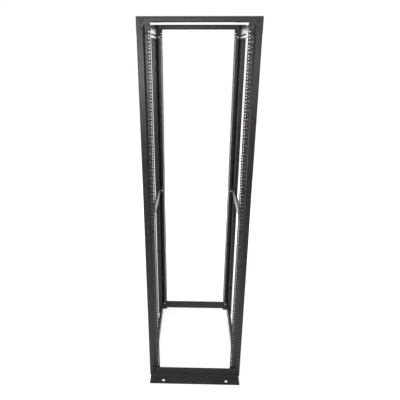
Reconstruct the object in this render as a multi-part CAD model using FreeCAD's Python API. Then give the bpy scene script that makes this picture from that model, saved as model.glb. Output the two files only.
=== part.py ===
# Four post open frame rack for 19 inch equipment: four roll-formed corner posts, each with a
# perforated mounting rail behind its face, tied by bars at the top, angles at the floor and
# three channels along each side. Millimetres, +Z up, X across the rack, front towards -Y.
# The origin is on the floor, at the middle of the rack.
import FreeCAD
import Part

import math
import os

from FreeCAD import Vector

# Equipment mounting pattern, as in EIA-310
units = 45
unit_height = 44.45
unit_base = 71.5              # floor to the lower edge of the first unit
first_hole = 6.35             # lower edge of a unit to its first hole
hole_step = 15.875            # from one hole to the next inside a unit
unit_holes = 3
clear_opening = 450.8         # between the mounting rails
hole_inset = 7.15             # hole centre to the rail's inner edge
rail_hole = 5.5               # diameter of an equipment hole
round_units = (1, 45)         # units whose outer holes are fully round; the others are four-sided

# Overall sizes of the frame, beside those that follow from the pattern
head_room = 42.25             # upper edge of the last unit to the top of the rack
post_span = 711.0             # front post face to rear post face

# Mounting rails
rail_sheet = 2.5
rail_bend = 2.5               # inside radius of the rail's bends
rail_recess = 8.5             # mounting face behind the post face
rail_flat = 27.0              # width of the flat that carries the holes
joggle_run = 8.6              # width over which the rail steps up to the post face
land_inset = 1.0              # from the edge of the post face to the rail's land behind it
land_gap = 1.5                # from the land's outer edge to the post's bend
tab_hole = 8.5                # through hole for a side member's tab

# Corner posts
post_sheet = 2.5
post_bend = 3.0
post_depth = 76.0
face_width = 30.0             # face beside the mounting rail
lip_width = 28.0              # return lip at the inner side
accessory_hole = 6.0
accessory_inset = 9.0         # hole centre to the post's outer side
accessory_gap = 47.0          # between the two holes of a pair
accessory_near = 182.5        # pairs nearest the middle of the unit pattern, above and below it
accessory_far = 888.0         # pairs farthest from it

# Top bars
bar_sheet = 3.0
bar_height = 26.5
bar_bend = 3.0
bar_top_depth = 38.0          # top flange, over the posts
bar_low_depth = 14.0          # lower flange, between the rails
bar_side_gap = 1.5            # lower flange to the rails
ear_height = 75.0
ear_width = 33.0
ear_cut = 9.0                 # corner cut at the ear's lower inner side
ear_shoulder = 37.0           # height of the face over the mounting rails

# Floor angles
angle_sheet = 4.0
angle_bend = 5.0
angle_leg = 66.0              # height of the upright leg
angle_foot = 72.0             # reach of the foot in front of the post face
angle_end_gap = 6.0           # end of the angle to the post's outer side
anchor_hole = 18.0
anchor_spacing = 399.0
anchor_reach = 46.0           # anchor centre in front of the post face

# Side members: a web with two flanges outward, and tabs at its ends on the mounting rails
side_sheet = 2.5
side_bend = 2.5
side_gap = 1.5                # web's outer face to the land of the rail
side_flange = 18.0            # from the web's inner face outward
flange_gap = 3.0              # end of a flange to the lip of the post
tab_reach = 20.0              # from the web's inner face towards the middle
tab_play = 0.3                # clearance between a tab and its rail
tab_hole_inset = 10.0         # hole centre to the web's inner face
base_web = 68.0               # height of the base channel
base_hole_rise = 54.0         # its tab holes above its lower edge
mid_web = 47.0
mid_web_drop = 63.6           # its lower edge below the middle of the unit pattern
mid_hole_rise = 18.0
top_web = 62.0
top_web_gap = 17.0            # its upper edge to the top of the posts
top_hole_rise = 11.0
slot_height = 9.0             # long slot in the web of the top channel
slot_rise = 18.0              # its centre above the lower edge
slot_end = 75.0               # web beyond each end of it

# Sizes that follow from those above
rack_height = unit_base + units * unit_height + head_room
pattern_middle = unit_base + units * unit_height / 2
rail_edge = clear_opening / 2
land_start = rail_edge + rail_flat + joggle_run
face_edge = land_start - land_inset
half_width = face_edge + face_width
half_span = post_span / 2
front = -half_span
post_top = rack_height - bar_sheet
web_face = land_start - side_gap - side_sheet
tab_hole_x = web_face - tab_hole_inset
mid_low = pattern_middle - mid_web_drop
top_low = post_top - top_web_gap - top_web

X_AXIS = Vector(1, 0, 0)
Y_AXIS = Vector(0, 1, 0)
Z_AXIS = Vector(0, 0, 1)
ORIGIN = Vector(0, 0, 0)


def bent_outline(points, sheet, inside_radius):
    """Closed outline of a bent sheet, from the corner points of its centre line."""
    radius = inside_radius + sheet / 2
    left = []
    right = []

    def offset(point, direction):
        normal = Vector(-direction.y, direction.x, 0) * (sheet / 2)
        left.append(point + normal)
        right.append(point - normal)

    corners = [Vector(x, y, 0) for x, y in points]
    runs = [(b - a).normalize() for a, b in zip(corners, corners[1:])]
    offset(corners[0], runs[0])
    for corner, before, after in zip(corners[1:], runs, runs[1:]):
        turn = before.getAngle(after)
        reach = radius * math.tan(turn / 2)
        middle = (before + after).normalize()
        inward = (after - before).normalize()
        centre = corner + inward * (radius / math.cos(turn / 2))
        offset(corner - before * reach, before)
        offset(centre - inward * radius, middle)
        offset(corner + after * reach, after)
    offset(corners[-1], runs[-1])

    def side(line):
        edges = []
        for k in range(0, len(line) - 1, 3):
            edges.append(Part.LineSegment(line[k], line[k + 1]).toShape())
            if k + 3 < len(line):
                edges.append(Part.Arc(line[k + 1], line[k + 2], line[k + 3]).toShape())
        return edges

    ends = [Part.LineSegment(left[0], right[0]).toShape(),
            Part.LineSegment(left[-1], right[-1]).toShape()]
    return Part.Face(Part.Wire(Part.__sortEdges__(side(left) + side(right) + ends)))


def bent_upright(points, sheet, inside_radius, low, high):
    """A bent sheet that stands along Z; its points are (x, y)."""
    face = bent_outline(points, sheet, inside_radius)
    face.translate(Vector(0, 0, low))
    return face.extrude(Vector(0, 0, high - low))


def bent_across(points, sheet, inside_radius, length):
    """A bent sheet along X, centred on the middle plane; its points are (y, z)."""
    solid = bent_outline(points, sheet, inside_radius).extrude(Vector(0, 0, length))
    solid.rotate(ORIGIN, Vector(1, 1, 1), 120)
    solid.translate(Vector(-length / 2, 0, 0))
    return solid


def bent_along(points, sheet, inside_radius, start, end):
    """A bent sheet along Y; its points are (x, z)."""
    solid = bent_outline(points, sheet, inside_radius).extrude(Vector(0, 0, end - start))
    solid.rotate(ORIGIN, X_AXIS, 90)
    solid.translate(Vector(0, end, 0))
    return solid


def drill(diameter, centre, reach, axis=Y_AXIS):
    """A round cutter that reaches equally far each way from its centre."""
    return Part.makeCylinder(diameter / 2, 2 * reach, centre - axis * reach, axis)


def punch(diameter, centre, reach):
    """A four-sided cutter along Y, as large in area as a round one of the diameter."""
    side = diameter * math.sqrt(math.pi) / 2
    corner = centre - Vector(side / 2, reach, side / 2)
    return Part.makeBox(side, 2 * reach, side, corner)


def mirrored(shape, side, end):
    """A right-hand front piece brought to side -1 or 1, and to end -1 (front) or 1 (rear)."""
    result = shape.copy()
    if side < 0:
        result = result.mirror(ORIGIN, X_AXIS)
    if end > 0:
        result = result.mirror(ORIGIN, Y_AXIS)
    return result


def corner_post():
    """Right-hand front post: face, outer side and return lip in one bent sheet."""
    inset = post_sheet / 2
    back = front + post_depth
    path = [(face_edge, front + inset),
            (half_width - inset, front + inset),
            (half_width - inset, back - inset),
            (half_width - lip_width, back - inset)]
    post = bent_upright(path, post_sheet, post_bend, 0, post_top)
    cutters = []
    for offset in (-accessory_far, -accessory_near, accessory_near, accessory_far):
        cutter = drill if offset == -accessory_far else punch
        for step in (-accessory_gap / 2, accessory_gap / 2):
            centre = Vector(half_width - accessory_inset, front, pattern_middle + offset + step)
            cutters.append(cutter(accessory_hole, centre, 2 * post_sheet))
    return post.cut(cutters)


def mounting_rail(tab_heights):
    """Right-hand front rail: perforated flat, joggle, and a land behind the post face."""
    inset = rail_sheet / 2
    face = front + rail_recess + inset
    land = front + post_sheet + inset
    land_end = half_width - post_sheet - post_bend - land_gap
    path = [(rail_edge, face), (rail_edge + rail_flat, face), (land_start, land), (land_end, land)]
    rail = bent_upright(path, rail_sheet, rail_bend, 0, post_top)
    cutters = [punch(tab_hole, Vector(tab_hole_x, face, height), 2 * rail_sheet)
               for height in tab_heights]
    for unit in range(units):
        for k in range(unit_holes):
            height = unit_base + unit * unit_height + first_hole + k * hole_step
            stated = unit + 1 in round_units and k in (0, unit_holes - 1)
            cutter = drill if stated else punch
            centre = Vector(rail_edge + hole_inset, face, height)
            cutters.append(cutter(rail_hole, centre, 2 * rail_sheet))
    return rail.cut(cutters)


def top_bar():
    """Front top bar: a channel between the rails, and a roof and two ears over the posts."""
    inset = bar_sheet / 2
    outer = front - inset
    top = rack_height - inset
    low = rack_height - bar_height
    bend = bar_bend + bar_sheet
    channel_length = clear_opening - 2 * bar_side_gap
    channel = bent_across([(front + bar_top_depth, top), (outer, top),
                           (outer, low + inset), (front + bar_low_depth, low + inset)],
                          bar_sheet, bar_bend, channel_length)
    roof = bent_across([(front + bar_top_depth, top), (outer, top), (outer, low + bend)],
                       bar_sheet, bar_bend, 2 * half_width)
    inner = half_width - ear_width
    shoulder = rack_height - ear_shoulder
    ear_low = rack_height - ear_height
    ear_points = [Vector(half_width, 0, low + bend),
                  Vector(half_width, 0, ear_low),
                  Vector(inner + ear_cut, 0, ear_low),
                  Vector(inner, 0, ear_low + ear_cut),
                  Vector(inner, 0, shoulder),
                  Vector(rail_edge, 0, shoulder),
                  Vector(rail_edge, 0, low),
                  Vector(channel_length / 2, 0, low),
                  Vector(channel_length / 2, 0, low + bend)]
    ear = Part.Face(Part.makePolygon(ear_points + ear_points[:1]))
    ear.translate(Vector(0, front - bar_sheet, 0))
    ear = ear.extrude(Vector(0, bar_sheet, 0))
    return channel.fuse([roof, ear, mirrored(ear, -1, -1)]).removeSplitter()


def floor_angle():
    """Front floor angle: upright leg against the post faces, foot with anchor holes."""
    inset = angle_sheet / 2
    corner = front - inset
    length = 2 * (half_width - angle_end_gap)
    angle = bent_across([(front - angle_foot, inset), (corner, inset), (corner, angle_leg)],
                        angle_sheet, angle_bend, length)
    anchors = [drill(anchor_hole, Vector(side * anchor_spacing / 2, front - anchor_reach, inset),
                     angle_sheet, Z_AXIS) for side in (-1, 1)]
    return angle.cut(anchors)


def side_member(low, height, hole_rise):
    """Right-hand side member: web, flanges outward between the posts, and two end tabs."""
    inset = side_sheet / 2
    web_x = web_face + inset
    tab_y = half_span - rail_recess - rail_sheet - tab_play - inset
    tab_edge = web_face - tab_reach
    flange_edge = web_face + side_flange
    flange_end = half_span - post_depth - flange_gap
    high = low + height
    tabs = bent_upright([(tab_edge, -tab_y), (web_x, -tab_y), (web_x, tab_y), (tab_edge, tab_y)],
                        side_sheet, side_bend, low, high)
    tabs = tabs.cut(Part.makeBox(side_sheet, 2 * flange_end, height,
                                 Vector(web_face, -flange_end, low)))
    beam = bent_along([(flange_edge, high - inset), (web_x, high - inset),
                       (web_x, low + inset), (flange_edge, low + inset)],
                      side_sheet, side_bend, -flange_end, flange_end)
    hole = punch(tab_hole, Vector(tab_hole_x, 0, low + hole_rise), half_span)
    return beam.fuse(tabs).cut(hole).removeSplitter()


def long_slot():
    """Cutter for the round-ended slot along the web of the top channel."""
    reach = half_span - rail_recess - slot_end
    radius = slot_height / 2
    height = top_low + slot_rise
    start = web_face - side_sheet
    width = 3 * side_sheet
    slot = Part.makeBox(width, 2 * reach, slot_height, Vector(start, -reach, height - radius))
    round_ends = [Part.makeCylinder(radius, width, Vector(start, side * reach, height), X_AXIS)
                  for side in (-1, 1)]
    return slot.fuse(round_ends)


def export(name, shape):
    """Write one node, and say what it holds."""
    shape.exportStep("parts/%s.step" % name)
    box = shape.BoundBox
    print("%-24s solids %d valid %s volume %8.1f cm3 faces %4d box %.1f %.1f %.1f" % (
        name, len(shape.Solids), shape.isValid(), shape.Volume / 1000, len(shape.Faces),
        box.XLength, box.YLength, box.ZLength))


os.makedirs("parts", exist_ok=True)
sides = (("left", -1), ("right", 1))
ends = (("front", -1), ("rear", 1))

post = corner_post()
rail = mounting_rail((base_hole_rise, mid_low + mid_hole_rise, top_low + top_hole_rise))
for end_name, end in ends:
    for side_name, side in sides:
        export("post_%s_%s" % (end_name, side_name), mirrored(post, side, end))
        export("rail_%s_%s" % (end_name, side_name), mirrored(rail, side, end))

bar = top_bar()
angle = floor_angle()
for end_name, end in ends:
    export("top_bar_%s" % end_name, mirrored(bar, 1, end))
    export("floor_angle_%s" % end_name, mirrored(angle, 1, end))

base_channel = side_member(0, base_web, base_hole_rise)
mid_brace = side_member(mid_low, mid_web, mid_hole_rise)
top_channel = side_member(top_low, top_web, top_hole_rise).cut(long_slot())
members = (("base_channel", base_channel), ("mid_brace", mid_brace), ("top_channel", top_channel))
for name, member in members:
    for side_name, side in sides:
        export("%s_%s" % (name, side_name), mirrored(member, side, -1))
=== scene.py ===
# %% [markdown]
# # A four post open frame rack, dressed in Blender
#
# The rack's construction is already settled: every post, rail, bar, angle and channel is a solid
# with its real place and size. This lesson keeps that frame where it is and gives it its looks:
# sheet metal with rolled bends and round holes, printed unit marks, screws, and finishes with
# the fine grain that powder coat and zinc have.

# %% Load the fixed frame
import math

import bmesh
import bpy
from mathutils import Euler, Matrix, Vector


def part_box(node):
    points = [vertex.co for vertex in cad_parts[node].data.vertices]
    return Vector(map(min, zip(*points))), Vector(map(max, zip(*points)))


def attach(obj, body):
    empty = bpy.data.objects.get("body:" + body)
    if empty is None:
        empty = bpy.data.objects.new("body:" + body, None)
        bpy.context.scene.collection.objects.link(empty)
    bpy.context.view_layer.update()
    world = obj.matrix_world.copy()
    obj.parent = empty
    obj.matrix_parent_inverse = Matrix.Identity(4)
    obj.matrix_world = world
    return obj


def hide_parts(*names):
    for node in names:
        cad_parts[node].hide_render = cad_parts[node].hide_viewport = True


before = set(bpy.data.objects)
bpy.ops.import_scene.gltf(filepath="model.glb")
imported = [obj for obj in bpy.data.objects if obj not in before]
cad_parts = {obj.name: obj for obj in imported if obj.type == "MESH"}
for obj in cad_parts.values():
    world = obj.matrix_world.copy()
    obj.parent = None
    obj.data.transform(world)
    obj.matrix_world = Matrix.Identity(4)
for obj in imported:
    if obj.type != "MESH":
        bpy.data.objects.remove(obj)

MM = 0.001
RIGHT = Vector((1, 0, 0))
BACK = Vector((0, 1, 0))
UP = Vector((0, 0, 1))
scene = bpy.context.scene
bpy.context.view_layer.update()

# %% [markdown]
# ## The camera
#
# The photograph was taken from a little under the top of the rack, close to its middle line,
# with the lens tilted down. A camera can be placed by eye, but a rack is all straight edges, so
# here its place was solved from them: the post edges, the top bar, the feet and the unit marks
# give the focal length, the tilt and the small shift of the frame.

# %% Place the camera
PHOTO_SIZE = 400                       # pixels, both ways
FOCAL_PIXELS = 391.1
AXIS_PIXEL = (184.5, 203.8)            # where the lens axis meets the picture
SENSOR_WIDTH = 36.0                    # millimetres
CAMERA_PLACE = (-0.0150, -2.3138, 1.9728)
LEVEL = math.radians(90)               # an unturned camera looks straight down
TILT_DOWN = math.radians(21.53)
TURN_LEFT = math.radians(1.52)
ROLL = math.radians(0.05)

camera_data = bpy.data.cameras.new("camera")
camera_data.sensor_width = SENSOR_WIDTH
camera_data.lens = FOCAL_PIXELS / PHOTO_SIZE * SENSOR_WIDTH
camera_data.shift_x = 0.5 - AXIS_PIXEL[0] / PHOTO_SIZE
camera_data.shift_y = AXIS_PIXEL[1] / PHOTO_SIZE - 0.5
camera = bpy.data.objects.new("camera", camera_data)
scene.collection.objects.link(camera)
camera.location = CAMERA_PLACE
aimed = Euler((LEVEL - TILT_DOWN, 0, TURN_LEFT), "XYZ").to_matrix()
camera.rotation_euler = (aimed @ Matrix.Rotation(ROLL, 3, "Z")).to_euler()
scene.camera = camera
scene.view_settings.view_transform = "Standard"
print("lens %.1f mm, shift %.3f %.3f" % (camera_data.lens, camera_data.shift_x, camera_data.shift_y))

# %% [markdown]
# ## The sizes of the sheet metal
#
# The lesson reads the overall places from the frame and names here what several pieces share:
# the sheets, the pitch of the holes and the two faces that the pieces are set out from. A rack
# unit is 44.45 mm tall and holds three holes. Everything is built once, at the front on the
# right, and is then mirrored to its other places.

# %% Name the shared sizes
RAIL_SHEET = 2.5 * MM
POST_SHEET = 2.5 * MM
UNITS = 45
UNIT = 44.45 * MM
UNIT_BASE = 71.5 * MM                  # floor to the lower edge of the first unit
UNIT_HOLES = (6.35 * MM, 22.225 * MM, 38.1 * MM)

rail_low, rail_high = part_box("rail_front_right")
post_low, post_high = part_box("post_front_right")
bar_low, bar_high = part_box("top_bar_front")
angle_low, angle_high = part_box("floor_angle_front")
rail_face = rail_high.y - RAIL_SHEET
post_face = post_low.y
print("mounting face at y %.4f, post face at y %.4f" % (rail_face, post_face))

# %% [markdown]
# ## Folding sheet metal with bmesh
#
# A press brake starts with a flat, punched sheet and folds it. The same steps work in bmesh:
# fill a flat between its outline and its holes, spin the flat's edge round the bend to make the
# fold, extrude to the next bend, and at the end give the whole sheet its thickness. Booleans on
# a finished solid would also cut the holes, but they leave long thin faces near every bend.

# %% Helpers that fill a flat


def points(bm, places):
    """New vertices at the given places."""
    return [bm.verts.new(place) for place in places]


def outline(bm, corners):
    """The closed line of edges through the corners; edges that exist are used again."""
    pairs = zip(corners, corners[1:] + corners[:1])
    return [bm.edges.get(pair) or bm.edges.new(pair) for pair in pairs]


def round_hole(bm, centre, radius, normal, sides, half_slot=Vector()):
    """A hole's edge; half_slot pulls its two halves apart to make a slot."""
    turn = UP.rotation_difference(normal).to_matrix().to_4x4()
    half_step = Matrix.Rotation(math.pi / sides, 4, "Z")
    made = bmesh.ops.create_circle(bm, cap_ends=False, segments=sides, radius=radius,
                                   matrix=Matrix.Translation(centre) @ turn @ half_step)
    for vert in made["verts"]:
        vert.co += half_slot * math.copysign(1, (vert.co - centre).dot(half_slot))
    return list({edge for vert in made["verts"] for edge in vert.link_edges})


def flat(bm, corners, holes=()):
    """Fills the flat between its corners and the edges of its holes."""
    edges = outline(bm, corners) + [edge for hole in holes for edge in hole]
    bmesh.ops.triangle_fill(bm, edges=edges, use_beauty=True, use_dissolve=False)


def ladder(bm, near, far, holes_at):
    """Fills a tall flat that faces front or back, from the near row of points to the far row.

    One fill over a hundred holes loses its way, so each rung is a fill of its own. A hole is
    given by its centre, its radius and its number of sides.
    """
    for rung in range(len(near) - 1):
        low, high = near[rung].co.z, near[rung + 1].co.z
        holes = [round_hole(bm, centre, radius, BACK, sides)
                 for centre, radius, sides in holes_at if low < centre.z < high]
        flat(bm, [near[rung], far[rung], far[rung + 1], near[rung + 1]], holes)
    return [bm.edges.get(pair) for pair in zip(far, far[1:])]


# %% Helpers that fold and thicken
FOLD_STEPS = 6
MERGE_DISTANCE = 0.01 * MM


def edge_between(bm, first, second):
    """The edge between two vertices, in a list, ready to fold or pull."""
    return [bm.edges.get((first, second))]


def pull(bm, edges, way):
    """Draws edges out into a flat strip, and gives the strip's far edges."""
    made = bmesh.ops.extrude_edge_only(bm, edges=edges)["geom"]
    moved = {part for part in made if isinstance(part, bmesh.types.BMVert)}
    bmesh.ops.translate(bm, verts=list(moved), vec=way)
    return [part for part in made
            if isinstance(part, bmesh.types.BMEdge) and moved.issuperset(part.verts)]


def fold(bm, edges, centre, axis, degrees):
    """Rolls edges round a bend, and gives the edges where the bend ends."""
    made = bmesh.ops.spin(bm, geom=edges, cent=centre, axis=axis, angle=math.radians(degrees),
                          steps=FOLD_STEPS, use_merge=False, use_duplicate=False)["geom_last"]
    return [part for part in made if isinstance(part, bmesh.types.BMEdge)]


def thicken(bm, sheet, outward):
    """Gives the sheet its thickness, behind the surface that faces outward."""
    bmesh.ops.remove_doubles(bm, verts=bm.verts[:], dist=MERGE_DISTANCE)
    bmesh.ops.recalc_face_normals(bm, faces=bm.faces[:])
    facing = sum((face.normal * face.calc_area() for face in bm.faces), Vector())
    if facing.dot(outward) < 0:
        bmesh.ops.reverse_faces(bm, faces=bm.faces[:])
    bmesh.ops.solidify(bm, geom=bm.faces[:], thickness=sheet)
    bmesh.ops.recalc_face_normals(bm, faces=bm.faces[:])


# %% [markdown]
# ## From a mesh to a piece of the rack
#
# A mirrored mesh is inside out, so its normals are worked out again. The faces of a folded sheet
# should look flat and its bends round: the shading is smooth, corners sharper than 30 degrees
# stay sharp, and a weighted normal modifier lets the large faces keep their own direction.

# %% Helpers that place and finish a piece
SHARP_CORNER = math.radians(30)
LARGE_FACES_LEAD = 100                 # weight of a face's area in the shading
EDGE_BREAK = 0.4 * MM
EDGE_SEGMENTS = 2
CUT_EDGE = math.radians(50)            # an edge sharper than this is a cut edge


def to_corner(bm, side, end):
    """Brings a right-hand front piece to side -1 or 1, and to end -1 (front) or 1 (rear)."""
    bmesh.ops.scale(bm, vec=(side, -end, 1), verts=bm.verts[:])
    bmesh.ops.recalc_face_normals(bm, faces=bm.faces[:])


def finished(bm, name, node=None):
    """Turns the bmesh into a piece that rides on the frame and stands for its node."""
    mesh = bpy.data.meshes.new(name)
    bm.to_mesh(mesh)
    bm.free()
    mesh.shade_smooth()
    mesh.set_sharp_from_angle(angle=SHARP_CORNER)
    piece = bpy.data.objects.new(name, mesh)
    scene.collection.objects.link(piece)
    shading = piece.modifiers.new("flat_faces", "WEIGHTED_NORMAL")
    shading.keep_sharp = True
    shading.weight = LARGE_FACES_LEAD
    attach(piece, "root")
    if node:
        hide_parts(node)
    mesh.calc_loop_triangles()
    print("%-26s %6d triangles" % (name, len(mesh.loop_triangles)))
    return piece


def break_edges(piece):
    """A fine bevel along the cut edges of a sheet, made before the shading is worked out."""
    bevel = piece.modifiers.new("broken_edges", "BEVEL")
    bevel.width = EDGE_BREAK
    bevel.segments = EDGE_SEGMENTS
    bevel.limit_method = "ANGLE"
    bevel.angle_limit = CUT_EDGE
    piece.modifiers.move(len(piece.modifiers) - 1, 0)


# %% [markdown]
# ## The mounting rails
#
# Each rail is a strip with a column of holes, three to a unit, that steps up behind the post
# face. The step is what press workers call a joggle: two equal bends, one each way. The flat
# has 138 holes. It is filled unit by unit between its outline and the circles, and is then
# rolled and pulled to its land, which lies behind the post's face.

# %% Build one rail
RAIL_BEND = 2.5 * MM                   # inside radius
RAIL_FLAT_END = 252.4 * MM
LAND_START = 261.0 * MM
LAND_Y = post_face + POST_SHEET
HOLE_COLUMN = 232.55 * MM
HOLE_RADIUS = 2.75 * MM
HOLE_SIDES = 16
TAB_HOLE_X = 247.0 * MM
TAB_HOLE_RADIUS = 4.25 * MM
TAB_HOLE_SIDES = 20
TAB_HEIGHTS = (54 * MM, 1026 * MM, 2043 * MM)


def build_rail():
    """The right-hand front rail, with its holes, joggle and land."""
    bm = bmesh.new()
    low, high = rail_low.z, rail_high.z
    run, rise = LAND_START - RAIL_FLAT_END, rail_face - LAND_Y
    slope = math.atan2(rise, run)
    degrees = math.degrees(slope)
    reach = (RAIL_BEND + RAIL_SHEET / 2) * math.tan(slope / 2)
    bend = RAIL_FLAT_END - reach
    heights = [UNIT_BASE + unit * UNIT + above for unit in range(UNITS) for above in UNIT_HOLES]
    holes = [(Vector((HOLE_COLUMN, rail_face, height)), HOLE_RADIUS, HOLE_SIDES) for height in heights]
    holes += [(Vector((TAB_HOLE_X, rail_face, height)), TAB_HOLE_RADIUS, TAB_HOLE_SIDES)
              for height in TAB_HEIGHTS]
    levels = [low] + [UNIT_BASE + unit * UNIT for unit in range(UNITS + 1)] + [high]
    inner = points(bm, [(rail_low.x, rail_face, level) for level in levels])
    outer = points(bm, [(bend, rail_face, level) for level in levels])
    edges = ladder(bm, inner, outer, holes)
    edges = fold(bm, edges, Vector((bend, rail_face - RAIL_BEND, 0)), UP, -degrees)
    way = Vector((math.cos(slope), -math.sin(slope), 0))
    edges = pull(bm, edges, way * (math.hypot(run, rise) - 2 * reach))
    across = Vector((math.sin(slope), math.cos(slope), 0))
    centre = edges[0].verts[0].co + across * (RAIL_BEND + RAIL_SHEET)
    edges = fold(bm, edges, centre, UP, degrees)
    pull(bm, edges, RIGHT * (rail_high.x - edges[0].verts[0].co.x))
    thicken(bm, RAIL_SHEET, -BACK)
    return bm


# %% Mirror it to the four corners
ENDS = (("front", -1), ("rear", 1))
SIDES = (("left", -1), ("right", 1))
CORNERS = [("%s_%s" % (end_name, side_name), side, end)
           for end_name, end in ENDS for side_name, side in SIDES]
rails = []
for where, side, end in CORNERS:
    rail = build_rail()
    to_corner(rail, side, end)
    rails.append(finished(rail, "mounting_rail_" + where, "rail_" + where))

# %% [markdown]
# ## The corner posts
#
# A post is one sheet: the face, the outer side, a lip that comes back inward and a short hem
# at its end. The face has four pairs of holes for cable managers, and the lip a small hole at
# every unit, which shows as a row of dark dots on the rear posts. The hem is rolled round a bend
# as the other edges are, so the lip ends in a soft round edge and not in a cut one.

# %% Build one post
POST_BEND = 3.0 * MM                   # inside radius
ACCESSORY_X = 281.0 * MM
ACCESSORY_RADIUS = 3.0 * MM
ACCESSORY_SIDES = 16
PATTERN_MIDDLE = UNIT_BASE + UNITS * UNIT / 2
PAIR_OFFSETS = (-888, -182.5, 182.5, 888)      # millimetres from the middle of the pattern
HOLE_OFFSETS = (-23.5, 23.5)                   # and from the middle of a pair
LIP_HOLE_X = 274.0 * MM
LIP_HOLE_RADIUS = 3.4 * MM
LIP_HOLE_SIDES = 12
LIP_INNER_X = 262.0 * MM
HEM = 7.0 * MM
POST_RUNGS = (1, 9, 18, 27, 36, 44)    # unit boundaries that no hole crosses


def build_post():
    """The right-hand front post: face, outer side, return lip and hem."""
    bm = bmesh.new()
    low, high = post_low.z, post_high.z
    inner, outer = post_low.x, post_high.x
    front, back = post_low.y, post_high.y
    radius = POST_BEND + POST_SHEET
    levels = [low] + [UNIT_BASE + unit * UNIT for unit in POST_RUNGS] + [high]
    heights = [PATTERN_MIDDLE + pair * MM + hole * MM for pair in PAIR_OFFSETS for hole in HOLE_OFFSETS]
    holes = [(Vector((ACCESSORY_X, front, height)), ACCESSORY_RADIUS, ACCESSORY_SIDES)
             for height in heights]
    face_inner = points(bm, [(inner, front, level) for level in levels])
    face_outer = points(bm, [(outer - radius, front, level) for level in levels])
    edges = ladder(bm, face_inner, face_outer, holes)
    edges = fold(bm, edges, Vector((outer - radius, front + radius, 0)), UP, 90)
    edges = pull(bm, edges, BACK * (back - front - 2 * radius))
    edges = fold(bm, edges, Vector((outer - radius, back - radius, 0)), UP, 90)
    bend_end = sorted({vert for edge in edges for vert in edge.verts}, key=lambda vert: vert.co.z)
    heights = [UNIT_BASE + (unit + 0.5) * UNIT for unit in range(UNITS)]
    holes = [(Vector((LIP_HOLE_X, back, height)), LIP_HOLE_RADIUS, LIP_HOLE_SIDES) for height in heights]
    hem_bend = LIP_INNER_X + radius
    lip = points(bm, [(hem_bend, back, level) for level in levels])
    edges = ladder(bm, bend_end, lip, holes)
    edges = fold(bm, edges, Vector((hem_bend, back - radius, 0)), UP, 90)
    pull(bm, edges, -BACK * (HEM - radius))
    thicken(bm, POST_SHEET, RIGHT)
    return bm


# %% Mirror the post to the four corners
posts = []
for where, side, end in CORNERS:
    post = build_post()
    to_corner(post, side, end)
    posts.append(finished(post, "corner_post_" + where, "post_" + where))

# %% [markdown]
# ## The top bars
#
# A top bar is one sheet too: a face with an ear over each post, a roof rolled back from its
# upper edge, and a sill rolled back between the rails. The face is drawn flat with its whole
# outline, and the roof and the sill are rolled from two of its edges. The cut edges are broken
# by a fine bevel, because real ones are never razor sharp and the round catches the light.

# %% Build one top bar
BAR_SHEET = 3.0 * MM
BAR_BEND = 3.0 * MM                    # inside radius
BAR_DEPTH = 41.0 * MM
BAR_HEIGHT = 26.5 * MM
SILL_DEPTH = 17.0 * MM
SILL_HALF = 223.9 * MM
RAIL_EDGE = 225.4 * MM
EAR_WIDTH = 33.0 * MM
EAR_CUT = 9.0 * MM                     # the cut corner at the ear's inner end
EAR_SHOULDER = 37.0 * MM               # top of the bar to the step down to the ear


def build_top_bar():
    """The front top bar: face, ears, roof and sill."""
    bm = bmesh.new()
    radius = BAR_BEND + BAR_SHEET
    face, top = bar_low.y, bar_high.z
    half, ear_end = bar_high.x, bar_low.z
    low = top - BAR_HEIGHT
    inner = half - EAR_WIDTH
    right = [(half, top - radius), (half, ear_end), (inner + EAR_CUT, ear_end),
             (inner, ear_end + EAR_CUT), (inner, top - EAR_SHOULDER), (RAIL_EDGE, top - EAR_SHOULDER),
             (RAIL_EDGE, low), (SILL_HALF, low), (SILL_HALF, low + radius)]
    left = [(-x, z) for x, z in reversed(right)]
    corners = points(bm, [(x, face, z) for x, z in right + left])
    flat(bm, corners)
    roof = edge_between(bm, corners[0], corners[-1])
    sill = edge_between(bm, corners[len(right) - 1], corners[len(right)])
    roof = fold(bm, roof, Vector((0, face + radius, top - radius)), RIGHT, -90)
    pull(bm, roof, BACK * (BAR_DEPTH - radius))
    sill = fold(bm, sill, Vector((0, face + radius, low + radius)), RIGHT, 90)
    pull(bm, sill, BACK * (SILL_DEPTH - radius))
    thicken(bm, BAR_SHEET, -BACK)
    return bm


# %% Set a top bar at each end
bars = []
for end_name, end in ENDS:
    bar = build_top_bar()
    to_corner(bar, 1, end)
    bars.append(finished(bar, "top_bar_sheet_" + end_name, "top_bar_" + end_name))
    break_edges(bars[-1])

# %% [markdown]
# ## The floor angles
#
# A floor angle is a thicker sheet with one bend. Its leg stands against the posts and its foot
# carries two holes for floor anchors. The foot is filled round its holes as a flat, and the leg
# is rolled up from its rear edge.

# %% Build one floor angle
ANGLE_SHEET = 4.0 * MM
ANGLE_BEND = 5.0 * MM                  # inside radius
ANCHOR_X = 199.5 * MM
ANCHOR_Y = -401.5 * MM
ANCHOR_RADIUS = 9.0 * MM
ANCHOR_SIDES = 32


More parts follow.
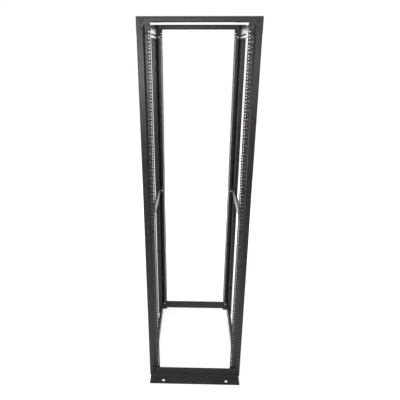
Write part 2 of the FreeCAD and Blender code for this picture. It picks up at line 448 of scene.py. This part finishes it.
def build_floor_angle():
    """The front floor angle: foot with anchor holes, bend and leg."""
    bm = bmesh.new()
    half, edge_y, leg_top = angle_high.x, angle_low.y, angle_high.z
    bend_y = angle_high.y - ANGLE_SHEET - ANGLE_BEND
    bend_z = ANGLE_SHEET + ANGLE_BEND
    foot = points(bm, [(x, y, ANGLE_SHEET)
                       for x, y in ((-half, edge_y), (half, edge_y), (half, bend_y), (-half, bend_y))])
    places = [Vector((x, ANCHOR_Y, ANGLE_SHEET)) for x in (-ANCHOR_X, ANCHOR_X)]
    flat(bm, foot, [round_hole(bm, place, ANCHOR_RADIUS, UP, ANCHOR_SIDES) for place in places])
    edges = edge_between(bm, foot[2], foot[3])
    edges = fold(bm, edges, Vector((0, bend_y, bend_z)), RIGHT, 90)
    pull(bm, edges, UP * (leg_top - bend_z))
    thicken(bm, ANGLE_SHEET, UP - BACK)
    return bm


# %% Set a floor angle at each end
angles = []
for end_name, end in ENDS:
    angle = build_floor_angle()
    to_corner(angle, 1, end)
    name = "floor_angle_sheet_" + end_name
    angles.append(finished(angle, name, "floor_angle_" + end_name))
    break_edges(angles[-1])

# %% [markdown]
# ## The side members
#
# Three members tie each side: a base channel, a mid brace and a top channel. Each is a web with
# two flanges folded outward between the posts, and a tab folded inward at each end, which is
# screwed to a rail. One builder makes all three from their own boxes. The top one has a long
# slot with round ends, which is a circle whose halves are drawn apart.

# %% Build one side member
MEMBER_SHEET = 2.5 * MM
MEMBER_BEND = 2.5 * MM                 # inside radius
MEMBER_HOLE_SIDES = 24
WEB_X = 257.0 * MM                     # inner face of the web
FLANGE_END = 276.5 * MM                # half length of the flanges
SLOT_RADIUS = 4.5 * MM
SLOT_HALF = 272.0 * MM - SLOT_RADIUS   # to the middle of its round ends
SLOT_HEIGHT = 2050.0 * MM


def build_member(node, tab_height, slot_height):
    """A right-hand side member, from the box of its node; slot_height is None for no slot."""
    bm = bmesh.new()
    corner_low, corner_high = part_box(node)
    low, high, flange_x, tab_x = corner_low.z, corner_high.z, corner_high.x, corner_low.x
    radius = MEMBER_BEND + MEMBER_SHEET
    web_end = corner_high.y - MEMBER_SHEET - MEMBER_BEND
    web = points(bm, [(WEB_X, y, z) for y, z in (
        (web_end, low), (web_end, high), (FLANGE_END, high), (FLANGE_END, high - radius),
        (-FLANGE_END, high - radius), (-FLANGE_END, high), (-web_end, high), (-web_end, low),
        (-FLANGE_END, low), (-FLANGE_END, low + radius), (FLANGE_END, low + radius), (FLANGE_END, low))])
    slots = []
    if slot_height:
        middle = Vector((WEB_X, 0, slot_height))
        slots = [round_hole(bm, middle, SLOT_RADIUS, RIGHT, MEMBER_HOLE_SIDES, BACK * SLOT_HALF)]
    flat(bm, web, slots)
    for first, second, centre_z, degrees in ((3, 4, high - radius, 90), (9, 10, low + radius, -90)):
        edges = edge_between(bm, web[first], web[second])
        edges = fold(bm, edges, Vector((WEB_X + radius, 0, centre_z)), BACK, degrees)
        pull(bm, edges, RIGHT * (flange_x - WEB_X - radius))
    for first, second, way in ((0, 1, 1), (6, 7, -1)):
        edges = edge_between(bm, web[first], web[second])
        edges = fold(bm, edges, Vector((WEB_X - MEMBER_BEND, way * web_end, 0)), UP, 90 * way)
        lower, upper = sorted(edges[0].verts, key=lambda vert: vert.co.z)
        far_upper, far_lower = points(bm, [(tab_x, upper.co.y, high), (tab_x, upper.co.y, low)])
        middle = Vector((TAB_HOLE_X, upper.co.y, tab_height))
        hole = round_hole(bm, middle, TAB_HOLE_RADIUS, BACK, MEMBER_HOLE_SIDES)
        flat(bm, [lower, upper, far_upper, far_lower], [hole])
    thicken(bm, MEMBER_SHEET, -RIGHT)
    return bm


# %% Set three members on each side
MEMBERS = (("base", "channel", TAB_HEIGHTS[0], None), ("mid", "brace", TAB_HEIGHTS[1], None),
           ("top", "channel", TAB_HEIGHTS[2], SLOT_HEIGHT))
members = []
for level, kind, tab_height, slot_height in MEMBERS:
    for side_name, side in SIDES:
        member = build_member("%s_%s_right" % (level, kind), tab_height, slot_height)
        to_corner(member, side, -1)
        name = "%s_sheet_%s_%s" % (level, kind, side_name)
        members.append(finished(member, name, "%s_%s_%s" % (level, kind, side_name)))
        break_edges(members[-1])

# %% [markdown]
# ## Screws
#
# Each end of a top bar and of a floor angle is held to its post by two flanged hexagon screws,
# with nuts behind the rail's land. A screw is stacked from cones: a thin one for the flange, one
# with six sides for the head, whose upper corners are cut by a bevel, and a plain one for the
# shank. The nut is plain but for one flat, whose corners are broken. The hexagons stand at odd
# angles, as they do when a screw is driven tight.

# %% Make one screw with its nut
FLANGE_RADIUS = 8.2 * MM
FLANGE_THICK = 1.8 * MM
FLANGE_RIM = 0.4                       # the share of its thickness that is upright
FLANGE_TAPER = 0.86                    # its radius under the head, over its full radius
ROUND_SIDES = 32
HEXAGON = 6
HEAD_RADIUS = 6.9 * MM                 # to the corners of the hexagon
HEAD_THICK = 5.2 * MM
HEAD_CHAMFER = 0.7 * MM
DISH_RIM = 1.4 * MM                    # the head's top is a shallow dish inside this rim
DISH_DEPTH = 0.5 * MM
SHANK_RADIUS = 4.0 * MM
SHANK_SIDES = 24
SHANK_START = -0.1 * MM
SHANK_SPARE = 3.0 * MM                 # what stands out of the nut
NUT_RADIUS = HEAD_RADIUS * 1.05
NUT_THICK = 6.5 * MM
NUT_CHAMFER = 0.6 * MM                 # round one flat of the nut
NUT_TURN = 1.7                         # the nut's turn over the head's


def ring_stack(bm, sides, low_radius, high_radius, low, high, turn=0.0):
    """A closed cone along Z between two heights; gives its faces from the lowest to the highest."""
    place = Matrix.Translation((0, 0, (low + high) / 2)) @ Matrix.Rotation(turn, 4, "Z")
    made = bmesh.ops.create_cone(bm, cap_ends=True, segments=sides, radius1=low_radius,
                                 radius2=high_radius, depth=high - low, matrix=place)
    faces = {face for vert in made["verts"] for face in vert.link_faces}
    return sorted(faces, key=lambda face: face.calc_center_median().z)


def chamfer(bm, face, width):
    """Cuts the corner all round a face."""
    bmesh.ops.bevel(bm, geom=list(face.edges), offset=width, segments=2, profile=0.5,
                    affect="EDGES", material=-1)


def screw(grip, turn):
    """A screw along Z that clamps from z 0 down to -grip, with its nut."""
    bm = bmesh.new()
    rim = FLANGE_THICK * FLANGE_RIM
    ring_stack(bm, ROUND_SIDES, FLANGE_RADIUS, FLANGE_RADIUS, 0, rim)
    ring_stack(bm, ROUND_SIDES, FLANGE_RADIUS, FLANGE_RADIUS * FLANGE_TAPER, rim, FLANGE_THICK)
    head_end = FLANGE_THICK + HEAD_THICK
    head = ring_stack(bm, HEXAGON, HEAD_RADIUS, HEAD_RADIUS, FLANGE_THICK, head_end, turn)
    chamfer(bm, head[-1], HEAD_CHAMFER)
    cap = max(bm.faces, key=lambda face: face.calc_center_median().z)
    bmesh.ops.inset_region(bm, faces=[cap], thickness=DISH_RIM, depth=-DISH_DEPTH)
    nut_end = -grip - NUT_THICK
    ring_stack(bm, SHANK_SIDES, SHANK_RADIUS, SHANK_RADIUS, nut_end - SHANK_SPARE, SHANK_START)
    nut_turn = turn * NUT_TURN
    nut = ring_stack(bm, HEXAGON, NUT_RADIUS, NUT_RADIUS, nut_end, -grip, nut_turn)
    flat_way = Matrix.Rotation(nut_turn, 3, "Z") @ -RIGHT
    one_flat = max(nut[1:-1], key=lambda face: face.calc_center_median().dot(flat_way))
    chamfer(bm, one_flat, NUT_CHAMFER)
    return bm


# %% Set the screws
TO_FRONT = Matrix.Rotation(math.radians(90), 4, "X")   # turns what points up to the front
SCREW_X = 265.5 * MM
FIRST_TURN = 17                        # degrees
NEXT_TURN = 41                         # and how much further each next one is turned
SCREW_SETS = (("top_bar", bar_low.y, (2096.5 * MM, 2061.5 * MM), 8.0 * MM),
              ("floor_angle", angle_high.y - ANGLE_SHEET, (49.0 * MM, 26.0 * MM), 9.0 * MM))


def gathered(parts):
    """One mesh of several parts; each comes with its place and is turned to the front."""
    whole = bmesh.new()
    for part, place in parts:
        bmesh.ops.transform(part, verts=part.verts[:], matrix=Matrix.Translation(place) @ TO_FRONT)
        mesh = bpy.data.meshes.new("part")
        part.to_mesh(mesh)
        part.free()
        whole.from_mesh(mesh)
        bpy.data.meshes.remove(mesh)
    return whole


fasteners = []
for set_name, face_y, heights, grip in SCREW_SETS:
    for where, side, end in CORNERS:
        group = gathered([(screw(grip, math.radians(FIRST_TURN + NEXT_TURN * index)),
                           (SCREW_X, face_y, height)) for index, height in enumerate(heights)])
        to_corner(group, side, end)
        fasteners.append(finished(group, "screws_%s_%s" % (set_name, where)))

# %% [markdown]
# ## Tab screws
#
# The tabs of the side members meet the rails behind three larger holes at each corner, and a low
# domed screw closes each of them. In the front rails the screws are black. At the rear they are
# driven from inside the rack, so their heads face the front too, and they are left bright. The
# outline is half a section with a recess for the key, and a full spin about the screw's axis
# makes the turned part in one step.

# %% Turn one tab screw
DOME_RADIUS = 6.2 * MM
DOME_HIGH = 2.6 * MM
DOME_EDGE = 0.3 * MM                   # height of the head at its rim
DOME_STEPS = 5
DOME_SIDES = 24
KEY_RADIUS = 1.9 * MM
KEY_DRAFT = 0.1 * MM                   # the recess is this much wider at its mouth
KEY_FLOOR = 1.1 * MM
TAB_GRIP = 9.0 * MM                    # how far the shank runs behind the rail's face
TAB_PLAY = 0.3 * MM                    # between a rail and the tab behind it


def dome_screw():
    """A domed screw along Z, with its head above z 0 and a recess for the key."""
    bm = bmesh.new()
    mouth = KEY_RADIUS + KEY_DRAFT
    section = [(0, KEY_FLOOR), (KEY_RADIUS, KEY_FLOOR), (mouth, DOME_HIGH)]
    for step in range(1, DOME_STEPS + 1):
        turn = math.radians(90 / DOME_STEPS * step)
        section.append((mouth + (DOME_RADIUS - mouth) * math.sin(turn),
                        DOME_EDGE + (DOME_HIGH - DOME_EDGE) * math.cos(turn)))
    section += [(DOME_RADIUS, 0.0), (SHANK_RADIUS, 0.0), (SHANK_RADIUS, -TAB_GRIP), (0, -TAB_GRIP)]
    verts = points(bm, [(radius, 0, height) for radius, height in section])
    edges = [bm.edges.new(pair) for pair in zip(verts, verts[1:])]
    bmesh.ops.spin(bm, geom=verts + edges, cent=(0, 0, 0), axis=UP, angle=math.radians(360),
                   steps=DOME_SIDES, use_merge=True, use_duplicate=False)
    bmesh.ops.remove_doubles(bm, verts=bm.verts[:], dist=MERGE_DISTANCE)
    bmesh.ops.recalc_face_normals(bm, faces=bm.faces[:])
    return bm


# %% Set the tab screws


def tab_screws(seat_y, side):
    """The three domed screws of one side, seated at one depth."""
    return gathered([(dome_screw(), (side * TAB_HOLE_X, seat_y, height)) for height in TAB_HEIGHTS])


rear_seat = -rail_face - RAIL_SHEET - TAB_PLAY - MEMBER_SHEET
bright_screws = []
for side_name, side in SIDES:
    black, bright = tab_screws(rail_face, side), tab_screws(rear_seat, side)
    fasteners.append(finished(black, "tab_screws_front_" + side_name))
    bright_screws.append(finished(bright, "tab_screws_rear_" + side_name))

# %% [markdown]
# ## Unit numbers
#
# White figures are printed beside the middle hole of each unit, and a short line marks where one
# unit ends and the next starts. Each figure from 0 to 9 is made once from Blender's own font,
# turned into a mesh and copied to its place, a hair in front of the paint. The lines are thin
# boxes. Rear rails carry the same figures on their rear side. They are turned there and not
# mirrored, because a mirrored figure can't be read. A unit whose middle hole lies beside a tab
# hole has no number.

# %% Make the figures once
FIGURE_HEIGHT = 6.0 * MM
FONT_RATIO = 0.7                       # height of a figure over the size of its font
INK = 0.06 * MM                        # thickness of the print


def figure_mesh(figure):
    """One figure as a thin solid, centred on its own place, upright in X and Z."""
    curve = bpy.data.curves.new("figure", "FONT")
    curve.body = figure
    curve.size = FIGURE_HEIGHT / FONT_RATIO
    curve.align_x = "CENTER"
    curve.align_y = "CENTER"
    curve.extrude = INK / 2
    curve.resolution_u = 2
    holder = bpy.data.objects.new("figure", curve)
    mesh = bpy.data.meshes.new_from_object(holder)
    mesh.transform(TO_FRONT)
    bpy.data.objects.remove(holder)
    return mesh


figures = {figure: figure_mesh(figure) for figure in "0123456789"}
print("triangles in the figure 8:", sum(len(face.vertices) - 2 for face in figures["8"].polygons))

# %% Build the print of one rail
NUMBER_COLUMN = 244.0 * MM
FIGURE_STEP = 4.3 * MM
CLEAR_OF_TAB = 9.0 * MM                # no figure is printed nearer to a tab hole
LINE_LONG = 7.5 * MM
LINE_HIGH = 1.3 * MM
INK_GAP = 0.02 * MM                    # keeps the print off the face that it lies on


def build_numbers(side):
    """Figures and unit lines of one front rail; side is -1 or 1."""
    bm = bmesh.new()
    y = rail_face - INK_GAP - INK / 2
    for unit in range(UNITS):
        label = str(unit + 1)
        height = UNIT_BASE + unit * UNIT + UNIT_HOLES[1]
        if min(abs(height - tab) for tab in TAB_HEIGHTS) < CLEAR_OF_TAB:
            continue
        for k, figure in enumerate(label):
            x = side * NUMBER_COLUMN + (k - (len(label) - 1) / 2) * FIGURE_STEP
            mesh = figures[figure].copy()
            mesh.transform(Matrix.Translation((x, y, height)))
            bm.from_mesh(mesh)
            bpy.data.meshes.remove(mesh)
    stretched = Matrix.Diagonal((LINE_LONG, INK, LINE_HIGH, 1.0))
    for unit in range(UNITS + 1):
        place = Matrix.Translation((side * NUMBER_COLUMN, y, UNIT_BASE + unit * UNIT))
        bmesh.ops.create_cube(bm, size=1.0, matrix=place @ stretched)
    return bm


# %% Set the print on the four rails
HALF_TURN = Matrix.Rotation(math.pi, 3, "Z")
numbers = []
for where, side, end in CORNERS:
    marks = build_numbers(side * -end)
    if end > 0:
        bmesh.ops.rotate(marks, cent=(0, 0, 0), matrix=HALF_TURN, verts=marks.verts[:])
    numbers.append(finished(marks, "unit_numbers_" + where))

# %% [markdown]
# ## Finishes
#
# Powder coat is a skin of melted grains: it is not smooth, its sheen changes a little from place
# to place, and it gathers dust and faint scuffs. The grain is one node group that every finish
# uses with its own values. The group gives only a height, a cloudy value and a mask of specks,
# and the shader stays in the material.

# %% Helpers for shader nodes


def noise(tree, place, scale, detail, roughness=0.5):
    """A noise texture on the given place; scale is a value or a socket."""
    node = tree.nodes.new("ShaderNodeTexNoise")
    node.inputs["Detail"].default_value = detail
    node.inputs["Roughness"].default_value = roughness
    tree.links.new(place, node.inputs["Vector"])
    if isinstance(scale, float):
        node.inputs["Scale"].default_value = scale
    else:
        tree.links.new(scale, node.inputs["Scale"])
    return node.outputs["Fac"]


def remap(tree, value, low, high, to_low=0.0, to_high=1.0):
    """Maps a value from one range to another, clamped."""
    node = tree.nodes.new("ShaderNodeMapRange")
    ends = (("From Min", low), ("From Max", high), ("To Min", to_low), ("To Max", to_high))
    for label, number in ends:
        node.inputs[label].default_value = number
    tree.links.new(value, node.inputs["Value"])
    return node.outputs["Result"]


def math_node(tree, operation, first, second):
    """One step of arithmetic between a socket and another socket or a number."""
    node = tree.nodes.new("ShaderNodeMath")
    node.operation = operation
    tree.links.new(first, node.inputs[0])
    if isinstance(second, float):
        node.inputs[1].default_value = second
    else:
        tree.links.new(second, node.inputs[1])
    return node.outputs["Value"]


# %% A helper that mixes two colours


def mix_colour(tree, factor, first, second):
    """Mixes two colours by a mask; each colour is a socket or a value."""
    node = tree.nodes.new("ShaderNodeMix")
    node.data_type = "RGBA"
    tree.links.new(factor, node.inputs["Factor"])
    colours = {socket.name: socket for socket in node.inputs if socket.type == "RGBA"}
    for label, value in (("A", first), ("B", second)):
        if isinstance(value, tuple):
            colours[label].default_value = value + (1.0,)
        else:
            tree.links.new(value, colours[label])
    return next(socket for socket in node.outputs if socket.type == "RGBA")


# %% The powder grain group
COAT_GRAIN = 900.0                     # noise scales: waves to a metre
COAT_CLOUD = 9.0
SPECK_GRAIN = 2600.0
SPECK_RANGE = (0.68, 0.78)             # only the highest noise is a speck


def powder_group():
    """Orange peel height, cloudy sheen and sparse pale specks of a powder coated skin."""
    group = bpy.data.node_groups.new("powder_grain", "ShaderNodeTree")
    for label, default in (("Grain", COAT_GRAIN), ("Cloud", COAT_CLOUD)):
        socket = group.interface.new_socket(label, in_out="INPUT", socket_type="NodeSocketFloat")
        socket.default_value = default
    for label in ("Height", "Sheen", "Specks"):
        group.interface.new_socket(label, in_out="OUTPUT", socket_type="NodeSocketFloat")
    given = group.nodes.new("NodeGroupInput")
    out = group.nodes.new("NodeGroupOutput")
    place = group.nodes.new("ShaderNodeTexCoord").outputs["Object"]
    peel = noise(group, place, given.outputs["Grain"], detail=3.0)
    cloud = noise(group, place, given.outputs["Cloud"], detail=5.0, roughness=0.6)
    fine = noise(group, place, SPECK_GRAIN, detail=1.0)
    specks = remap(group, fine, *SPECK_RANGE)
    group.links.new(peel, out.inputs["Height"])
    group.links.new(cloud, out.inputs["Sheen"])
    group.links.new(specks, out.inputs["Specks"])
    return group


POWDER = powder_group()
print("node group", POWDER.name, "with", len(POWDER.nodes), "nodes")

# %% Start a material with the grain in it
SHEEN_RANGE = (0.3, 0.7)               # the part of the cloudy value that sets the roughness


def grained_material(name, grain, cloud, rough, bump_strength, bump_height):
    """A material whose roughness and normal follow the powder group.

    rough is the pair of roughnesses that the cloudy value runs between. Gives the material with
    its tree, its shader and the group's own node, so that a finish can add its colour.
    """
    material = bpy.data.materials.new(name)
    material.use_nodes = True
    tree = material.node_tree
    shader = tree.nodes["Principled BSDF"]
    powder = tree.nodes.new("ShaderNodeGroup")
    powder.node_tree = POWDER
    powder.inputs["Grain"].default_value = grain
    powder.inputs["Cloud"].default_value = cloud
    rough_here = remap(tree, powder.outputs["Sheen"], *SHEEN_RANGE, *rough)
    tree.links.new(rough_here, shader.inputs["Roughness"])
    bump = tree.nodes.new("ShaderNodeBump")
    bump.inputs["Strength"].default_value = bump_strength
    bump.inputs["Distance"].default_value = bump_height
    tree.links.new(powder.outputs["Height"], bump.inputs["Height"])
    tree.links.new(bump.outputs["Normal"], shader.inputs["Normal"])
    return material, tree, shader, powder


# %% [markdown]
# ## Black powder coat
#
# The frame and the rails have the same satin black, a little more matt on the rails. The feet
# have a copy of it that is lighter and duller: the lighter tone is painted light, standing in for
# the light that falls on them. One function makes all three. The black is not quite zero,
# because that of real paint never is.

# %% The black coats
COAT_DARK = (0.020, 0.016, 0.020)
COAT_LIGHT = (0.027, 0.022, 0.027)
# The feet's two tones are the black painted lighter: painted light that stands in for the light falling
# on them.
FOOT_PAINTED_LIT_DARK = (0.032, 0.028, 0.032)
FOOT_PAINTED_LIT_LIGHT = (0.044, 0.039, 0.044)
DUST = (0.16, 0.155, 0.15)
DUST_SHARE = 0.35                      # how much of the black a speck hides
GLOSS_TINT = (1.0, 0.95, 1.0)          # a trace of violet in the sheen
PEEL_STRENGTH = 0.12
PEEL_HEIGHT = 0.3 * MM


def coat_material(name, dark, light, rough):
    """Satin black powder coat with cloudy sheen, pale specks and a bump of orange peel."""
    material, tree, shader, powder = grained_material(name, COAT_GRAIN, COAT_CLOUD, rough,
                                                      PEEL_STRENGTH, PEEL_HEIGHT)
    base = mix_colour(tree, remap(tree, powder.outputs["Sheen"], *SHEEN_RANGE), dark, light)
    specks = math_node(tree, "MULTIPLY", powder.outputs["Specks"], DUST_SHARE)
    tree.links.new(mix_colour(tree, specks, base, DUST), shader.inputs["Base Color"])
    shader.inputs["Specular Tint"].default_value = GLOSS_TINT + (1.0,)
    return material


frame_coat = coat_material("frame_coat", COAT_DARK, COAT_LIGHT, (0.24, 0.34))
rail_coat = coat_material("rail_coat", COAT_DARK, COAT_LIGHT, (0.26, 0.36))
# The feet get the lighter copy of the coat: painted light, with a duller roughness.
foot_coat_painted_lighter = coat_material("foot_coat_painted_lighter", FOOT_PAINTED_LIT_DARK, FOOT_PAINTED_LIT_LIGHT, (0.5, 0.62))
print("black coats:", frame_coat.name, rail_coat.name, foot_coat_painted_lighter.name)

# %% [markdown]
# ## Zinc and print
#
# The rear tab screws are zinc plated, which is a bright metal with dull patches. The walls of
# the equipment holes are steel too, where cage nuts and screws have rubbed the coat away, and
# they draw the fine bright rims round the holes. The print is a thin white ink that is patchy
# over the grain of the coat. Each is two tones mixed by the same cloudy value.

# %% Zinc plate, bare walls and white ink
PATCH_RANGE = (0.35, 0.65)             # the part of the cloudy value that mixes the two tones
ZINC_DULL = (0.66, 0.66, 0.67)
ZINC_BRIGHT = (0.86, 0.86, 0.87)
ZINC_GRAIN = 700.0
ZINC_CLOUD = 140.0
ZINC_STRENGTH = 0.1
INK_WORN = (0.52, 0.52, 0.50)
INK_WHITE = (0.78, 0.78, 0.76)
INK_GRAIN = 1500.0
INK_CLOUD = 60.0
INK_STRENGTH = 0.15
FINE_HEIGHT = 0.1 * MM                 # depth of the bump in both


def patchy_material(name, recipe, rough):
    """Two tones in soft patches, with a fine bump; the recipe is the same for all of one skin."""
    dull, bright, grain, cloud, strength, metallic = recipe
    material, tree, shader, powder = grained_material(name, grain, cloud, rough, strength, FINE_HEIGHT)
    tone = remap(tree, powder.outputs["Sheen"], *PATCH_RANGE)
    tree.links.new(mix_colour(tree, tone, dull, bright), shader.inputs["Base Color"])
    shader.inputs["Metallic"].default_value = metallic
    return material


ZINC = (ZINC_DULL, ZINC_BRIGHT, ZINC_GRAIN, ZINC_CLOUD, ZINC_STRENGTH, 1.0)
WHITE_INK = (INK_WORN, INK_WHITE, INK_GRAIN, INK_CLOUD, INK_STRENGTH, 0.0)
zinc = patchy_material("zinc_plate", ZINC, (0.25, 0.4))
bare_wall = patchy_material("bare_hole_wall", ZINC, (0.35, 0.5))
ink = patchy_material("white_print", WHITE_INK, (0.45, 0.6))
print("metal and print:", zinc.name, bare_wall.name, ink.name)

# %% Say which piece has which finish
WALL_TILT = 0.2                        # a wall's normal has less of Y in it than this
WALL_REACH = 1.01                      # walls lie within so many radii of the column of holes
FINISHES = ((posts + bars + members + fasteners, frame_coat), (angles, foot_coat_painted_lighter), (rails, rail_coat),
            (bright_screws, zinc), (numbers, ink))


def in_equipment_hole(face):
    """True for a rail's face that is the wall of an equipment hole."""
    beside = abs(abs(face.center.x) - HOLE_COLUMN)
    return abs(face.normal.y) < WALL_TILT and beside < HOLE_RADIUS * WALL_REACH


# %% Paint the pieces
for pieces, material in FINISHES:
    for piece in pieces:
        piece.data.materials.append(material)
    print("%-12s on %2d pieces" % (material.name, len(pieces)))
for piece in rails:
    piece.data.materials.append(bare_wall)
    walls = [face for face in piece.data.polygons if in_equipment_hole(face)]
    for face in walls:
        face.material_index = 1
    print("bare wall faces in", piece.name, len(walls))

# %% [markdown]
# ## The floor and the air
#
# The photograph has a pure white ground with no horizon. A white world would do that alone, but
# then nothing holds the rack down, so a plain floor catches its soft shadow and is white where
# the camera looks. Satin paint shows its surroundings too. For the paint's gloss alone the floor
# also glows as a painted reflection: not at all far in front of the rack, grey around it and
# white behind it.

# %% The floor
FLOOR_HALF = 9.0
FLOOR_GREY = (0.6, 0.6, 0.6)
FLOOR_ROUGH = 0.9
GLOW_NEAR = 0.74                       # added for the camera under the rack, where its shadow lies
GLOW_FAR = 1.0                         # added for the camera away from the rack
GLOW_RANGE = (0.8, 2.2)                # metres from the rack's middle, from near to far
# A painted reflection: the floor glows for glossy rays only, grey near the rack and white behind it.
PAINTED_REFLECTION_NEAR = 0.45                     # added where the paint mirrors the floor near the rack
PAINTED_REFLECTION_FAR = 0.0
PAINTED_REFLECTION_RANGE = (0.9, 2.0)
PAINTED_REFLECTION_BEHIND = 1.0                    # added where the paint mirrors the floor behind the rack
BEHIND_RANGE = (0.6, 1.4)              # metres behind the rack's middle
WHITE = (1, 1, 1, 1)


def floor_material():
    """Matt pale floor: white for the camera away from the rack, with a painted reflection glow in the
    paint's gloss.
    """
    material = bpy.data.materials.new("studio_floor")
    material.use_nodes = True
    tree = material.node_tree
    shader = tree.nodes["Principled BSDF"]
    shader.inputs["Roughness"].default_value = FLOOR_ROUGH
    shader.inputs["Base Color"].default_value = FLOOR_GREY + (1.0,)
    shader.inputs["Emission Color"].default_value = WHITE
    path = tree.nodes.new("ShaderNodeLightPath")
    place = tree.nodes.new("ShaderNodeTexCoord").outputs["Object"]
    reach = tree.nodes.new("ShaderNodeVectorMath")
    reach.operation = "LENGTH"
    tree.links.new(place, reach.inputs[0])
    split = tree.nodes.new("ShaderNodeSeparateXYZ")
    tree.links.new(place, split.inputs[0])
    glow = remap(tree, reach.outputs["Value"], *GLOW_RANGE, GLOW_NEAR, GLOW_FAR)
    seen = math_node(tree, "MULTIPLY", path.outputs["Is Camera Ray"], glow)
    # The painted reflection: a glow that only glossy rays see, grey around the rack and white behind it.
    around = remap(tree, reach.outputs["Value"], *PAINTED_REFLECTION_RANGE, PAINTED_REFLECTION_NEAR, PAINTED_REFLECTION_FAR)
    behind = remap(tree, split.outputs["Y"], *BEHIND_RANGE, 0.0, PAINTED_REFLECTION_BEHIND)
    sheen = math_node(tree, "MAXIMUM", around, behind)
    mirrored = math_node(tree, "MULTIPLY", path.outputs["Is Glossy Ray"], sheen)
    tree.links.new(math_node(tree, "ADD", seen, mirrored), shader.inputs["Emission Strength"])
    return material


bm = bmesh.new()
bmesh.ops.create_grid(bm, x_segments=2, y_segments=2, size=FLOOR_HALF)
floor_mesh = bpy.data.meshes.new("studio_floor")
bm.to_mesh(floor_mesh)
bm.free()
floor_mesh.materials.append(floor_material())
floor = bpy.data.objects.new("studio_floor", floor_mesh)
scene.collection.objects.link(floor)
print("floor: %.0f m square" % (2 * FLOOR_HALF))

# %% The world
AMBIENT = 0.12                         # what the world gives to the rack; the camera sees it white

world = bpy.data.worlds.new("studio")
scene.world = world
world.use_nodes = True
air = world.node_tree
background = air.nodes["Background"]
path = air.nodes.new("ShaderNodeLightPath")
seen = math_node(air, "MAXIMUM", path.outputs["Is Camera Ray"], path.outputs["Is Transmission Ray"])
background.inputs["Color"].default_value = WHITE
air.links.new(remap(air, seen, 0.0, 1.0, AMBIENT, 1.0), background.inputs["Strength"])
print("world: %.2f on the rack" % AMBIENT)

# %% [markdown]
# ## The lamps
#
# Black satin metal is drawn by what it mirrors, so the lamps are large soft boxes, and each has
# its place for some faces of the sheet metal. Three rows in front shade the post faces from a
# bright upper end to a dark middle, more on the left than on the right. The boxes at the sides
# draw the bends and the lips, the one behind lights the top channels, and the one above lights
# the top bar and the feet. They stay at a plain level, at which a colour renders about as it is
# written.

# %% Hang the lamps
FRONT_X = 1.25
FRONT_Y = -4.8
FRONT_WIDE = 2.5
AIM_SHARE = 0.2                        # the front boxes aim this share of their own X off the middle
# Each row: its name, how high it hangs, the height it aims at, and how tall the box is.
FRONT_ROWS = (("high", 2.6, 2.0, 1.1), ("middle", 1.7, 1.5, 0.6), ("low", 1.0, 0.8, 0.7))
FRONT_RADIANCE = {"left": (2.2, 7.6, 1.0), "right": (1.5, 2.6, 0.4)}


def softbox(name, place, target, width, height, radiance):
    """A rectangular lamp that faces its target; radiance is how bright its cloth looks."""
    data = bpy.data.lights.new(name, "AREA")
    data.shape = "RECTANGLE"
    data.size = width
    data.size_y = height
    data.energy = radiance * math.pi * width * height
    lamp = bpy.data.objects.new(name, data)
    scene.collection.objects.link(lamp)
    lamp.location = place
    lamp.rotation_euler = (Vector(target) - Vector(place)).to_track_quat("-Z", "Y").to_euler()
    lamp.visible_camera = False
    print("lamp %-18s %5.1f W" % (name, data.energy))


for side_name, side in SIDES:
    x = side * FRONT_X
    for (row, hung, aim, tall), radiance in zip(FRONT_ROWS, FRONT_RADIANCE[side_name]):
        softbox("front_%s_%s" % (row, side_name), (x, FRONT_Y, hung), (x * AIM_SHARE, 0, aim),
                FRONT_WIDE, tall, radiance)
softbox("left", (-3.2, -0.9, 0.8), (0, 0, 0.8), 1.8, 1.4, 7.0)
softbox("right", (3.2, -0.6, 0.8), (0, 0, 0.8), 1.4, 1.4, 2.0)
softbox("behind", (0.0, 4.0, 1.6), (0, 0, 1.4), 5.0, 1.6, 3.6)
softbox("above", (0.0, -0.4, 4.6), (0, 0, 0), 3.0, 3.0, 2.6)
